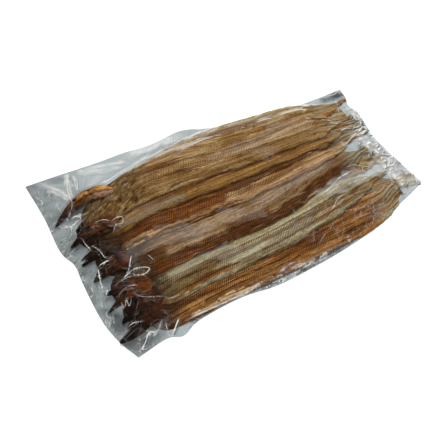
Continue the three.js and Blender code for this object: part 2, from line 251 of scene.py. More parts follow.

# ---- folds of the film, and the glints, sheen and shade painted on it
# Creases: points, height, half width before the share is taken, strength of the painted glint along it
# (below 0: a painted dark shade line).
CREASE_WIDTH_SHARE = 0.65
CREASES = [
    ([(-234, 151), (-218, 127), (-208, 104)], 2.6, 1.1, 0.15),
    ([(-194, 150), (-205, 121), (-208, 103), (-211, 90)], 2.6, 1.3, 0.25),
    ([(-189, 143), (-194, 132), (-198, 120)], 1.0, 0.8, 0.4),
    ([(-185, 138), (-189, 124), (-195, 111)], 1.0, 0.8, 0.5),
    ([(-174, 135), (-182, 120), (-192, 103)], 2.0, 1.0, 0.25),
    ([(-183, 100), (-159, 101), (-125, 107), (-90, 120)], 1.2, 1.4, 0.5),
    ([(-248, 67), (-238, 69)], 1.0, 0.8, 0.7),
    ([(-238, 76), (-224, 91), (-211, 97), (-206, 97)], 1.2, 0.9, 0.8),
    ([(-209, 95), (-211, 83), (-215, 75), (-225, 67), (-230, 67)], 1.2, 0.8, 0.75),
    ([(-239, 61), (-230, 56), (-223, 56), (-215, 59), (-209, 60)], 1.6, 1.2, 0.95),
    ([(-209, 60), (-211, 67), (-220, 67)], 1.2, 0.9, 0.8),
    ([(-234, 63), (-224, 51)], 1.2, 0.8, 0.8),
    ([(-224, 44), (-227, 31)], 1.0, 0.7, 0.6),
    ([(-218, 56), (-216, 44), (-219, 32)], 1.0, 0.8, -0.7),
    ([(-239, 60), (-238, 42)], 0.8, 0.7, 0.4),
    ([(-246, 131), (-243, 120), (-243, 108)], 1.2, 0.8, 0.7),
    ([(-249, 117), (-243, 111)], 0.8, 0.7, 0.6),
    ([(-224, 22), (-215, -5), (-206, -28)], 1.4, 0.8, 0.85),
    ([(-222, 20), (-213, -6), (-204, -28)], 0.6, 0.5, -0.6),
    ([(-202, 27), (-191, 26), (-184, 21)], 1.4, 0.9, 0.65),
    ([(-182, 19), (-173, 22), (-167, 21), (-170, 14), (-181, 12), (-186, 7)], 1.6, 1.1, 0.6),
    ([(-222, -29), (-209, -32)], 1.8, 1.2, 1.0),
    ([(-224, -32), (-228, -46), (-231, -59)], 1.6, 1.0, 0.9),
    ([(-214, -65), (-200, -61), (-186, -44), (-182, -37)], 1.4, 0.9, 0.75),
    ([(-212, -66), (-198, -62), (-188, -59), (-173, -68), (-179, -73), (-190, -70), (-194, -63)],
     1.4, 0.9, 0.7),
    ([(-232, -60), (-226, -63)], 1.4, 1.3, 1.0),
    ([(-226, -64), (-232, -72)], 1.2, 0.8, 0.9),
    ([(-219, -66), (-204, -66), (-190, -70)], 1.0, 0.7, 0.5),
    ([(-222, -87), (-211, -85), (-198, -91)], 1.0, 0.7, 0.7),
    ([(-222, -95), (-221, -101), (-216, -98), (-216, -104), (-210, -100)], 1.0, 0.6, 0.75),
    ([(-229, -126), (-223, -127), (-212, -133)], 0.8, 0.7, 0.8),
    ([(-240, -132), (-228, -130)], 0.6, 0.6, 0.7),
    ([(-208, -97), (-198, -107), (-179, -116), (-155, -122)], 0.8, 0.8, 0.3),
    ([(-231, -158), (-221, -150), (-212, -144), (-202, -145), (-193, -141)], 2.2, 1.0, 0.9),
    ([(-190, -142), (-192, -156)], 2.0, 0.8, 0.85),
    ([(-173, -141), (-182, -149), (-191, -156)], 2.4, 1.5, 1.0),
    ([(-165, -46), (-162, -57)], 0.6, 0.6, 0.5),
    ([(-165, -147), (-127, -147), (-80, -148)], 1.2, 1.3, 0.65),
    ([(-78, -152), (-20, -154), (40, -150)], 1.2, 1.0, 0.6),
    ([(-55, -150), (0, -151), (50, -148)], 1.2, 0.8, 0.5),
    ([(-60, -154), (-20, -156), (20, -155)], 0.8, 0.8, -0.7),
    ([(67, -106), (100, -98), (126, -97)], 0.5, 0.6, 0.28),
    ([(8, -148), (34, -133), (69, -119)], 0.5, 0.6, 0.22),
    ([(131, -108), (122, -126), (115, -140)], 0.5, 0.6, 0.28),
    ([(54, -112), (90, -118), (128, -121)], 0.5, 0.6, 0.25),
    ([(66, -128), (100, -129), (128, -131)], 0.5, 0.6, 0.22),
    ([(115, -75), (144, -75), (164, -72)], 0.6, 0.7, 0.45),
    ([(184, 23), (195, 24), (205, 21)], 1.2, 1.0, 0.9),
    ([(139, -46), (152, -46), (164, -51), (176, -56)], 0.8, 0.7, 0.6),
    ([(74, -74), (100, -66), (120, -58), (146, -53)], 0.6, 0.8, 0.6),
    ([(165, -52), (160, -58), (161, -64)], 1.0, 0.7, 0.9),
    ([(51, -105), (69, -105), (84, -95), (108, -90)], 0.6, 0.7, 0.5),
    ([(118, -120), (118, -131), (107, -142)], 0.5, 0.6, 0.3),
    ([(94, -129), (106, -122), (119, -121)], 0.5, 0.6, 0.3),
    ([(205, -13), (200, -21), (195, -28)], 1.6, 1.2, 0.5),
    ([(204, -31), (203, -45)], 1.2, 0.8, 0.7),
    ([(246, 91), (240, 56), (236, 44)], 1.4, 1.0, 0.5),
    ([(210, -8), (222, -5), (211, -13), (221, -15)], 1.4, 1.1, -0.9),
    ([(220, -30), (210, -37)], 1.6, 1.2, -0.95),
    ([(211, -60), (203, -64), (199, -57)], 1.6, 1.2, -0.9),
    ([(196, -84), (209, -80), (210, -90)], 1.6, 1.2, -0.9),
    ([(193, -114), (200, -108), (214, -112)], 1.4, 1.0, -0.8),
    ([(173, -121), (185, -120)], 1.2, 1.0, -0.6),
    ([(195, -98), (216, -99)], 1.2, 0.9, -0.5),
    ([(212, 100), (228, 99), (240, 104)], 1.6, 1.4, -0.5),
    ([(222, 109), (236, 106), (252, 111)], 1.6, 1.2, 0.5),
    ([(228, 98), (228, 84), (230, 74)], 1.6, 1.4, -0.6),
]

# Crumpled places: x and y range, count of folds, their length, height, heading in degrees, its
# spread and the strongest painted glint (below 0: mostly painted dark shade lines).
CRUMPLES = [
    ((-251, -234), (-66, 34), 24, (4, 14), 1.2, 50, 60, 0.6),
    ((-250, -236), (-130, -60), 20, (5, 16), 1.0, 90, 40, 0.5),
    ((-236, -176), (-140, 60), 50, (6, 24), 1.0, 20, 70, 0.12),
    ((-250, -225), (80, 145), 24, (6, 18), 1.0, 60, 40, 0.35),
    ((-232, -205), (48, 74), 14, (5, 16), 1.2, 30, 60, 0.6),
    ((-230, -190), (-158, -138), 16, (5, 16), 1.0, 30, 60, 0.5),
    ((186, 224), (-116, 20), 34, (14, 34), 2.0, 8, 20, 0.6),
    ((182, 226), (-118, 22), 36, (6, 18), 1.6, 15, 40, 0.45),
    ((216, 252), (8, 112), 30, (6, 20), 1.6, 60, 60, 0.5),
    ((-90, 50), (-158, -147), 40, (10, 44), 0.8, -2, 6, 0.5),
    ((-150, 170), (-130, 110), 90, (12, 60), 0.3, 4, 10, 0.1),
    ((10, 175), (-142, -80), 80, (8, 30), 0.3, 40, 50, 0.14),
    ((-60, 230), (108, 128), 30, (8, 30), 0.6, -10, 12, 0.16),
    ((-90, 70), (-158, -147), 34, (10, 40), 0.8, -2, 6, -0.8),
    ((190, 226), (-118, 16), 60, (5, 18), 1.6, 12, 35, -0.95),
    ((-250, -230), (-130, 60), 24, (4, 16), 1.0, 60, 60, -0.5),
]

# Places where the film stands off the fish and a painted milky sheen stands in for the light it
# reflects: points, half width, strength, softness of the border in mm.
PALE_PLACES = [
    ([(-68, 102), (0, 108), (80, 102), (150, 92)], 15, 0.045, 2.5),
    ([(-195, -30), (-150, -32), (-100, -38), (-60, -46)], 11, 0.06, 1.5),
    ([(-28, -44), (60, -34), (140, -26)], 10, 0.05, 2.0),
    ([(-168, -94), (-100, -90), (-60, -86)], 9, 0.07, 1.5),
    ([(60, -78), (110, -70), (150, -66), (200, -66)], 17, 0.15, 6.0),
    ([(-48, -112), (0, -110), (52, -106)], 12, 0.04, 2.0),
    ([(-152, -16), (-114, -34), (-88, -58)], 15, 0.04, 1.2),
    ([(-64, -26), (-30, -52), (4, -66)], 12, 0.05, 1.2),
    ([(16, 70), (52, 40), (68, 16)], 14, 0.05, 1.2),
    ([(-100, -90), (-70, -108), (-36, -118)], 12, 0.06, 1.2),
    ([(86, 88), (118, 60), (156, 46)], 12, 0.05, 1.2),
    ([(-188, 14), (-128, 20), (-68, 18)], 8, 0.03, 5.0),
    ([(-30, 62), (60, 60), (130, 52)], 10, 0.05, 2.5),
    ([(224, 40), (210, -60), (194, -156)], 24, 0.34, 11.0),
    ([(165, 0), (182, -2)], 7, 0.2, 3.0),
    ([(200, -26), (212, -32)], 8, 0.35, 3.0),
    ([(176, -62), (192, -76), (196, -92)], 8, 0.25, 4.0),
    ([(228, 30), (234, 50), (238, 72)], 9, 0.22, 4.0),
    ([(-188, 98), (-172, 112), (-150, 130)], 9, 0.22, 7.0),
    ([(-186, 104), (-159, 103), (-125, 110), (-62, 132)], 5, 0.32, 3.0),
    ([(-130, 142), (-60, 148), (0, 146)], 20, 0.42, 12.0),
    ([(-238, 158), (-218, 127), (-204, 92)], 8, 0.5, 7.0),
    ([(-192, 160), (-204, 121), (-211, 84)], 5, 0.45, 4.0),
    ([(-187, 146), (-194, 112)], 2.5, 0.3, 2.0),
    ([(-204, -4), (-192, -30), (-174, -52)], 10, 0.04, 9.0),
    ([(-190, 152), (-150, 132), (-112, 122)], 8, 0.4, 7.0),
    ([(-228, 146), (-200, 128), (-186, 122)], 5, 0.2, 5.0),
    ([(-176, 150), (-140, 140), (-110, 134)], 6, 0.35, 5.0),
    ([(-60, -153), (-10, -154), (40, -151)], 4, 0.1, 2.0),
    ([(-196, -62), (-178, -60)], 9, 0.05, 3.0),
]

# Places in the folds and pockets of the film, painted darker for its folded layers and for the shade that
# falls there, in the same way.
SHADED_PLACES = [
    ([(-236, 48), (-236, 10), (-230, -8)], 12, 0.3, 10.0),
    ([(-240, -70), (-236, -105), (-236, -140)], 12, 0.34, 10.0),
    ([(-224, -142), (-206, -138)], 8, 0.35, 6.0),
    ([(-226, 58), (-206, 66), (-196, 76)], 8, 0.3, 4.0),
    ([(-240, 118), (-215, 108)], 15, 0.2, 10.0),
    ([(-212, 150), (-190, 138)], 8, 0.26, 7.0),
    ([(-206, 136), (-198, 108)], 6, 0.2, 4.0),
    ([(-172, 138), (-130, 128)], 4, 0.2, 4.0),
    ([(196, 104), (232, 103), (264, 108)], 12, 0.56, 12.0),
    ([(214, -2), (212, -60), (208, -108)], 10, 0.22, 8.0),
    ([(-90, -152), (0, -156), (70, -150)], 4, 0.25, 3.0),
    ([(-170, -148), (-110, -150)], 4, 0.2, 3.0),
]

# Places where the film is finely rippled, with painted glints and dark shade lines on its wrinkles:
# points, half width, strength.
RIPPLED_PLACES = [
    ([(-246, 140), (-243, 0), (-238, -150)], 14, 1.0),
    ([(-215, 70), (-210, -60), (-205, -150)], 16, 0.35),
    ([(212, -110), (215, -20), (240, 60), (246, 105)], 24, 1.0),
    ([(-230, -152), (-60, -154), (60, -152), (170, -128)], 8, 0.8),
]

# Heights under the film are kept on a raster of points 1 mm apart, which covers the whole bag.
RASTER_X = np.arange(-262.0, 267.0, 1.0)
RASTER_Y = np.arange(-170.0, 171.0, 1.0)
GRID_X, GRID_Y = np.meshgrid(RASTER_X, RASTER_Y, indexing="ij")


def smoothstep(low, high, x):
    t = np.clip((x - low) / (high - low), 0, 1)
    return t * t * (3 - 2 * t)


def smooth_line(points, x):
    """The y at each x of a smooth curve through points that are listed by rising x."""
    px, py = np.array(points, float).T
    slope = np.gradient(py, px)
    slope[1:-1] = (py[2:] - py[:-2]) / (px[2:] - px[:-2])
    i = np.clip(np.searchsorted(px, x) - 1, 0, len(px) - 2)
    span = px[i + 1] - px[i]
    t = np.clip((x - px[i]) / span, 0, 1)
    return ((2 * t**3 - 3 * t**2 + 1) * py[i] + (t**3 - 2 * t**2 + t) * slope[i] * span
            + (3 * t**2 - 2 * t**3) * py[i + 1] + (t**3 - t**2) * slope[i + 1] * span)


def waves(x, y, seed, longest, count=7):
    """Uneven relief from about -1 to 1: plane waves in random directions, ever shorter."""
    rng = np.random.default_rng(seed)
    total = 0.0
    weight = 0.0
    for k in range(count):
        length = longest * 0.74**k
        angle = rng.uniform(0, math.pi)
        share = 0.82**k
        turn = (x * math.cos(angle) + y * math.sin(angle)) * 2 * math.pi / length
        total = total + share * np.sin(turn + rng.uniform(0, 2 * math.pi))
        weight += share
    return total / weight * 1.6


def sample(raster, x, y):
    """The raster's value at (x, y), by straight interpolation."""
    fx = np.clip(x - RASTER_X[0], 0, len(RASTER_X) - 1.001)
    fy = np.clip(y - RASTER_Y[0], 0, len(RASTER_Y) - 1.001)
    i, j = fx.astype(int), fy.astype(int)
    u, v = fx - i, fy - j
    return ((raster[i, j] * (1 - u) + raster[i + 1, j] * u) * (1 - v)
            + (raster[i, j + 1] * (1 - u) + raster[i + 1, j + 1] * u) * v)


def bridged(floor, passes):
    """A skin over the floor that spans its hollows: each pass widens what it spans."""
    skin = floor.copy()
    for _ in range(passes):
        around = (skin[:-2, 1:-1] + skin[2:, 1:-1] + skin[1:-1, :-2] + skin[1:-1, 2:]) / 4
        skin[1:-1, 1:-1] = np.maximum(floor[1:-1, 1:-1], around)
    return skin


# ---- mesh helpers
def between(first, second, start, end, t):
    """first where t is start, second where t is end."""
    return ((end - t) * first + (t - start) * second) / (end - start)


def catmull_rom(points, steps=24):
    """Dense points of a centripetal curve through points."""
    p = np.array(points, float)
    p = np.vstack([2 * p[0] - p[1], p, 2 * p[-1] - p[-2]])
    knot = np.concatenate([[0], np.cumsum(np.linalg.norm(np.diff(p, axis=0), axis=1) ** 0.5)])
    out = []
    for i in range(1, len(p) - 2):
        t = np.linspace(knot[i], knot[i + 1], steps, endpoint=False)[:, None]
        k = knot[i - 1:i + 3]
        a = [between(p[i - 1 + j], p[i + j], k[j], k[j + 1], t) for j in range(3)]
        b = [between(a[j], a[j + 1], k[j], k[j + 2], t) for j in range(2)]
        out.append(between(*b, k[1], k[2], t))
    return np.vstack(out + [p[-2:-1]])


def even_points(points, count):
    """count + 1 points spread evenly along the curve through points."""
    dense = catmull_rom(points)
    run = np.concatenate([[0], np.cumsum(np.linalg.norm(np.diff(dense, axis=0), axis=1))])
    at = np.linspace(0, run[-1], count + 1)
    return np.stack([np.interp(at, run, dense[:, k]) for k in range(2)], -1)


def film_grid(along, across):
    """The (x, y) points of a grid that is blended between the bag's four edges."""
    near, far = even_points(NEAR_EDGE, along)[:, None], even_points(FAR_EDGE, along)[:, None]
    head, tail = even_points(HEAD_EDGE, across)[None], even_points(TAIL_EDGE, across)[None]
    u = np.linspace(0, 1, along + 1)[:, None, None]
    v = np.linspace(0, 1, across + 1)[None, :, None]
    corners = ((1 - v) * ((1 - u) * near[0, 0] + u * near[-1, 0])
               + v * ((1 - u) * far[0, 0] + u * far[-1, 0]))
    return (1 - v) * near + v * far + (1 - u) * head + u * tail - corners


RIM = np.vstack([catmull_rom(e) for e in (HEAD_EDGE, TAIL_EDGE, NEAR_EDGE, FAR_EDGE)])
MIDDLE = (RIM.min(0) + RIM.max(0)) / 2


def grid_faces(rows, columns, start=0, flip=False):
    """Quads of a grid of rows by columns points, as four point numbers each."""
    i, j = np.meshgrid(np.arange(rows - 1), np.arange(columns - 1), indexing="ij")
    a = (start + i * columns + j).ravel()
    quads = np.stack([a, a + columns, a + columns + 1, a + 1], -1)
    return quads[:, ::-1] if flip else quads


def add(name, data):
    """A new object in the scene."""
    item = bpy.data.objects.new(name, data)
    bpy.context.scene.collection.objects.link(item)
    return item


def make_mesh(name, points, faces, values, material):
    """A smooth mesh object from points in mm; values holds named arrays with one value a point."""
    mesh = bpy.data.meshes.new(name)
    points = np.array(points, float)
    points[:, :2] -= MIDDLE
    mesh.from_pydata((points * MM).tolist(), [], faces.tolist())
    for key, value in values.items():
        layer = mesh.attributes.new(key, "FLOAT", "POINT")
        layer.data.foreach_set("value", np.asarray(value, np.float32).ravel())
    mesh.polygons.foreach_set("use_smooth", [True] * len(mesh.polygons))
    mesh.materials.append(material)
    mesh.validate()
    return add(name, mesh)


def belongs(piece):
    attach(piece, "root")
    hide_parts("bag")


# ---- materials
def linear(colour):
    """Display colour, 0 to 255, as the linear colour that shaders take."""
    c = np.array(colour, float) / 255
    c = np.where(c <= 0.04045, c / 12.92, ((c + 0.055) / 1.055) ** 2.4)
    return (*c, 1.0)


class Nodes:
    """Short calls to build a material's node tree, with the colour painted so far."""

    def __init__(self, name):
        self.material = bpy.data.materials.new(name)
        self.material.use_nodes = True
        self.tree = self.material.node_tree
        self.tree.nodes.clear()
        self.colour = None

    def node(self, kind, settings=None, **inputs):
        made = self.tree.nodes.new("ShaderNode" + kind)
        for key, value in (settings or {}).items():
            setattr(made, key, value)
        for key, value in inputs.items():
            self.feed(made.inputs[key.replace("_", " ")], value)
        return made

    def feed(self, socket, value):
        if isinstance(value, bpy.types.NodeSocket):
            self.tree.links.new(value, socket)
        else:
            socket.default_value = value

    def value(self, name):
        return self.node("Attribute", {"attribute_name": name}).outputs["Fac"]

    def math(self, operation, *values, clamp=False):
        made = self.node("Math", {"operation": operation, "use_clamp": clamp})
        for k, value in enumerate(values):
            self.feed(made.inputs[k], value)
        return made.outputs[0]

    def times(self, *values):
        return reduce(lambda first, second: self.math("MULTIPLY", first, second), values)

    def strongest(self, *values):
        return reduce(lambda first, second: self.math("MAXIMUM", first, second), values)

    def step(self, value, low, high, to_low=0.0, to_high=1.0):
        """Goes smoothly from to_low to to_high where the value goes from low to high."""
        made = self.node("MapRange", {"interpolation_type": "SMOOTHSTEP"})
        for k, item in enumerate((value, low, high, to_low, to_high)):
            self.feed(made.inputs[k], item)
        return made.outputs[0]

    def place(self, x, y, z):
        return self.node("CombineXYZ", X=x, Y=y, Z=z).outputs[0]

    def noise(self, place, scale, detail=3.0, roughness=0.55, distortion=0.0):
        return self.node("TexNoise", Vector=place, Scale=scale, Detail=detail,
                         Roughness=roughness, Distortion=distortion).outputs["Fac"]

    def mix(self, amount, first, second, blend="MIX"):
        made = self.node("Mix", {"data_type": "RGBA", "blend_type": blend})
        self.feed(made.inputs[0], amount)
        self.feed(made.inputs[6], first)
        self.feed(made.inputs[7], second)
        return made.outputs[2]

    def paint(self, amount, tint):
        """Covers the colour so far with a display colour, by amount."""
        self.colour = self.mix(amount, self.colour, linear(tint))

    def dye(self, amount, factor):
        """Multiplies the colour so far by a factor, by amount."""
        self.colour = self.mix(amount, self.colour, factor, "MULTIPLY")

    def mix_shaders(self, amount, first, second):
        made = self.node("MixShader")
        for k, item in enumerate((amount, first.outputs[0], second.outputs[0])):
            self.feed(made.inputs[k], item)
        return made

    def finish(self, shader):
        out = self.node("OutputMaterial")
        self.tree.links.new(shader.outputs[0], out.inputs["Surface"])
        return self.material

    def finish_dried(self, height, relief, roughness):
        """Ends with the colour so far, half matt, and a bump of relief metres."""
        bump = self.node("Bump", Strength=0.6, Distance=relief, Height=height)
        return self.finish(self.node("BsdfPrincipled", Base_Color=self.colour,
                                     Roughness=roughness, Specular_IOR_Level=DRIED_SPECULAR,
                                     Normal=bump.outputs[0]))


def fish_material(fish, seed):
    """Dried flesh: streaks along the fish, rib lines beside the backbone, bands, painted shade along the
    edge and spots.
    """
    n = Nodes("flesh_" + fish["name"])
    flesh, streak, edge_shade, spine = TONES[fish["tone"]]
    along, across, share, edge = (n.value(v) for v in FISH_VALUES)
    shifted = n.math("ADD", along, 137.0 * seed)

    def pattern(per_along, per_across, layer, detail=3.0, roughness=0.6):
        """A noise with so many waves a mm along and across the fish. Each layer is another noise."""
        place = n.place(n.times(shifted, per_along), n.times(across, per_across), layer)
        return n.noise(place, 1.0, detail, roughness)

    def window(value, low, high, soft):
        """1 between low and high, with soft borders inside them."""
        return n.times(n.step(value, low, low + soft), n.step(value, high, high - soft))

    streaks = pattern(0.010, 0.17, 0.0, 4.0)
    fine = pattern(0.013, 0.45, 3.0, 4.0, 0.65)
    n.colour = linear(flesh)
    n.paint(n.step(streaks, 0.38, 0.6), streak)
    # bands of other colour along the fish, with uneven borders
    ragged = n.math("ADD", share, n.step(pattern(0.03, 0.04, 8.0, 4.0), 0.3, 0.7, -0.14, 0.14))
    for low, high, start, end, tint, strength in fish["bands"]:
        inside = n.times(window(ragged, low, high, 0.06), window(along, start, end, 10.0))
        n.paint(n.times(inside, n.step(streaks, 0.2, 0.5, 0.8, 1.0), strength), tint)
    # patches that the film clings to are darker and browner, with sharp borders
    n.dye(n.step(pattern(0.013, 0.055, 15.0, 3.0, 0.5), 0.535, 0.56), (0.66, 0.57, 0.43, 1.0))
    # thin dark and light streaks
    n.paint(n.step(fine, 0.53, 0.64, 0.0, 0.75), spine)
    n.dye(n.step(fine, 0.45, 0.36), (1.3, 1.3, 1.28, 1.0))
    # rib lines beside the backbone, worn away in places, with light flesh between them
    wave = n.math("SINE", n.times(along, 2 * math.pi / RIB_PITCH))
    ribbed = n.times(n.step(n.math("ABSOLUTE", across), RIB_REACH, RIB_REACH - RIB_FADE),
                     n.step(pattern(0.014, 0.1, 9.0), 0.42, 0.54),
                     n.step(pattern(0.06, 0.4, 10.0), 0.3, 0.6, 0.6, 1.0))
    n.paint(n.times(ribbed, n.step(wave, -0.3, 0.6, 0.0, 0.9)), spine)
    between = n.times(ribbed, n.step(wave, -0.3, -0.9))
    n.dye(between, (1.5, 1.45, 1.35, 1.0))
    n.paint(n.times(between, n.step(pattern(0.08, 0.3, 18.0), 0.46, 0.6, 0.0, 0.4)), (176, 122, 66))
    # thin golden fibres along the fish
    n.paint(n.step(pattern(0.024, 0.9, 17.0, 3.0, 0.65), 0.59, 0.66, 0.0, 0.42), (182, 136, 84))
    # dark lines along the backbone, and thinner ones that wander beside it
    broken = n.step(pattern(0.05, 0.3, 4.0), 0.32, 0.52, 0.3, 0.95)
    wander = n.noise(n.place(n.times(shifted, 0.011), 0.0, 20.0), 1.0)
    wandering = n.math("ADD", across, n.math("MULTIPLY_ADD", wander, 14.0, -7.0))
    rng = np.random.default_rng(500 + seed)
    strands = [(across, float(offset), 1.1, 1.0) for offset in fish["lines"]]
    strands += [(wandering, rng.uniform(-0.8, 0.8) * fish["half_width"], 0.8, 0.75) for _ in range(4)]
    for k, (place, offset, half_width, strength) in enumerate(strands):
        line = n.math("ABSOLUTE", n.math("SUBTRACT", place, offset))
        gaps = n.step(pattern(0.02, 0.0, 30.0 + k), 0.38, 0.5, 0.25, 1.0)
        n.paint(n.times(n.step(line, half_width, 0.2), broken, gaps, strength), spine)
    # painted shade along the fish's edge, where it meets its neighbours, broken up in places
    broken_up = n.step(pattern(0.02, 0.1, 11.0), 0.4, 0.58, 0.15, 1.0)
    n.paint(n.times(n.step(edge, 1.3, 0.3, 0.0, 0.5), broken_up), edge_shade)
    # front end: dark beside the head, or the opened belly, blotched
    clots = pattern(0.09, 0.12, 2.0, 4.0, 0.65)
    if "gut" in fish:
        front = n.step(along, float(fish["gut"]), fish["gut"] - 50.0)
        n.paint(n.times(front, n.step(clots, 0.36, 0.54)), (92, 66, 32))
        n.paint(n.times(front, n.step(clots, 0.54, 0.6)), (50, 26, 12))
        n.paint(n.times(front, n.step(pattern(0.11, 0.15, 12.0), 0.56, 0.66, 0.0, 0.5)), (128, 112, 58))
    else:
        n.paint(n.times(n.step(along, 62.0, 20.0), n.step(clots, 0.3, 0.55, 0.5, 1.0)), (44, 27, 15))
    # the thin tail has pale grey and orange streaks
    length = fish["line"][-1][0] - fish["line"][0][0]
    ending = n.step(along, 0.8 * length, 0.95 * length)
    strip = pattern(0.016, 0.24, 16.0)
    n.paint(n.times(ending, n.step(strip, 0.44, 0.54, 0.0, 0.8)), (146, 139, 114))
    n.paint(n.times(ending, n.step(strip, 0.42, 0.34, 0.0, 0.7)), (150, 88, 40))
    # small blood spots, then fine grain over all
    n.paint(n.step(pattern(0.11, 0.17, 6.0, 1.0), 0.68, 0.74, 0.0, 0.75), (66, 34, 16))
    grain = pattern(0.22, 0.65, 1.0, 4.0, 0.7)
    n.dye(1.0, n.step(grain, 0.3, 0.7, 0.56, 1.44))
    height = n.math("ADD", n.times(grain, 0.5), n.math("ADD", streaks, fine))
    return n.finish_dried(height, 0.0007, n.step(grain, 0.3, 0.7, 0.5, 0.7))


def head_material(head, seed):
    """Dried head: near black snout and eye, brown to orange gill cover, torn and streaked skin."""
    n = Nodes("skin_" + head["name"])
    dark, light = head["skin"]
    along, across = n.value("along"), n.value("across")
    mottle = n.noise(n.place(n.times(along, 5.0), n.times(across, 2.2), 3.0 * seed), 1.0, 4.0, 0.65)
    fibres = n.noise(n.place(n.times(along, 13.0), n.times(across, 10.0), 5.0 * seed), 1.0, 5.0, 0.75)
    n.colour = linear(dark)
    n.paint(n.times(n.step(along, *head["front"], 0.15, 1.0), n.step(mottle, 0.36, 0.6, 0.1, 1.0)), light)
    if "lobe" in head:
        # dark towards the near side, with a pale lobe at the back
        n.paint(n.step(across, 0.1, -0.3, 0.0, 0.8), dark)
        n.paint(n.times(n.step(across, -0.25, -0.4), n.step(along, 0.55, 0.75)), head["lobe"])
    # black and light fibres, then the snout, painted shade in the mouth slit and along the gill cover's
    # edge, and the eye
    n.paint(n.step(fibres, 0.5, 0.58, 0.0, 0.85), (20, 13, 9))
    n.paint(n.times(n.step(fibres, 0.42, 0.34, 0.0, 0.7), n.step(along, 0.1, 0.4)), light)
    n.paint(n.step(along, 0.3, 0.02, 0.0, 0.9), (20, 15, 12))
    n.paint(n.value("groove_shade"), (16, 10, 8))
    n.paint(n.value("eye"), (12, 10, 10))
    return n.finish_dried(n.math("ADD", mottle, fibres), 0.001, n.step(mottle, 0.3, 0.7, 0.45, 0.65))


def film_material(name, tint):
    """Clear film: see-through with a sharp gloss, with painted milky sheen and shade in places, and
    painted glints and dark shade lines along its creases.
    """
    n = Nodes(name)
    crease, crease_glint_and_shade, sheen, dark, crumple = (n.value(v) for v in FILM_VALUES)
    place = n.node("TexCoord").outputs["Object"]
    cloud = n.noise(place, 45.0, 4.0, 0.6)
    # the painted glint along each crease, and the painted shade on one side of it
    glint_and_shade = n.math("MAXIMUM", crease_glint_and_shade, 0.0)
    uneven = n.step(n.noise(place, 90.0, 1.0), 0.3, 0.6, 0.35, 1.0)
    line = n.times(n.step(n.math("ABSOLUTE", crease), 1.0, 0.35), uneven)
    beside = n.times(n.step(crease, 1.0, 1.6), n.step(crease, 3.2, 2.0))
    # painted glints and dark shade lines on hair-thin wrinkles where the film is crumpled: contours of
    # noises that are stretched along the bag
    stretched = n.node("VectorMath", {"operation": "MULTIPLY"})
    n.feed(stretched.inputs[0], place)
    n.feed(stretched.inputs[1], (0.4, 1.0, 1.0))
    wavy = n.noise(stretched.outputs[0], 70.0, 2.0, 0.5, 0.8)
    pleats = n.noise(stretched.outputs[0], 38.0, 2.0, 0.5, 0.6)
    spots = n.times(crumple, n.step(n.noise(place, 75.0, 2.0), 0.46, 0.6))
    toward_tails = n.node("SeparateXYZ", Vector=place).outputs["X"]
    tails = n.times(crumple, n.step(toward_tails, *PLEATS_START),
                    n.step(n.noise(place, 50.0, 1.0), 0.35, 0.5))

    def contour(relief, level, width, strength, where):
        """A thin line, up to its strength, where the relief is at the level."""
        from_level = n.math("ABSOLUTE", n.math("SUBTRACT", relief, level))
        return n.times(n.step(from_level, width, 0.25 * width, 0.0, strength), where)

    # painted glints: along the creases, on the wrinkles and on the pleats at the tails
    painted_lines = n.strongest(n.times(line, glint_and_shade), contour(wavy, 0.5, 0.012, 0.5, spots),
                        contour(pleats, 0.5, 0.02, 0.95, tails),
                        contour(pleats, 0.6, 0.018, 0.8, tails),
                        contour(pleats, 0.4, 0.018, 0.8, tails))
    # painted dark shade lines: dark creases, the shade beside each glint, and the dark side of the
    # wrinkles and pleats
    shade_lines = n.strongest(n.times(line, n.times(crease_glint_and_shade, -1.0)), n.times(beside, n.times(glint_and_shade, 0.45)),
                        contour(wavy, 0.46, 0.014, 0.8, spots),
                        contour(pleats, 0.455, 0.024, 1.0, tails),
                        contour(pleats, 0.555, 0.022, 1.0, tails))
    bump = n.node("Bump", Strength=n.step(crumple, 0.0, 1.0, 0.05, 0.7), Distance=0.0012,
                  Height=n.noise(place, 110.0, 2.0, 0.5))
    # the same gloss from both sides of the film
    facing = n.node("LayerWeight", Blend=0.5).outputs["Facing"]
    glossiness = n.math("MULTIPLY_ADD", n.math("POWER", facing, 5.0), 0.95, 0.04)
    # painted shade in folds and pockets and towards the heads, and the painted dark lines, darken what the
    # film lets through
    patchy_shade = n.times(dark, n.step(cloud, 0.3, 0.7, 0.5, 1.5))
    shade = n.math("ADD", patchy_shade, shade_lines, clamp=True)
    clear = n.node("BsdfTransparent", Color=n.mix(shade, linear(tint), linear((50, 50, 48))))
    gloss = n.node("BsdfGlossy", Color=(1.0, 0.98, 0.95, 1.0), Roughness=0.1,
                   Normal=bump.outputs[0])
    # a matt layer of painted light: the milky sheen and the glints in white, the shade lines in dark
    painted_light_colour = n.mix(shade_lines, linear((236, 236, 232)), linear((66, 72, 64)))
    painted_light = n.node("BsdfPrincipled", Base_Color=painted_light_colour, Roughness=0.25)
    # how much of that painted light covers the film
    painted_light_amount = n.math("ADD", n.times(sheen, n.step(cloud, 0.35, 0.65, 0.55, 1.1)), painted_lines, clamp=True)
    painted_light_amount = n.strongest(painted_light_amount, n.times(shade_lines, 0.3))
    return n.finish(n.mix_shaders(painted_light_amount, n.mix_shaders(glossiness, clear, gloss), painted_light))


# ---- split fish
def tail_taper(fish, x):
    """0 on the body of the fish, rising to 1 in its thin tail."""
    start, end = fish["line"][0][0], fish["line"][-1][0]
    return smoothstep(TAIL_TAPER_START, TAIL_TAPER_END, (x - start) / (end - start))


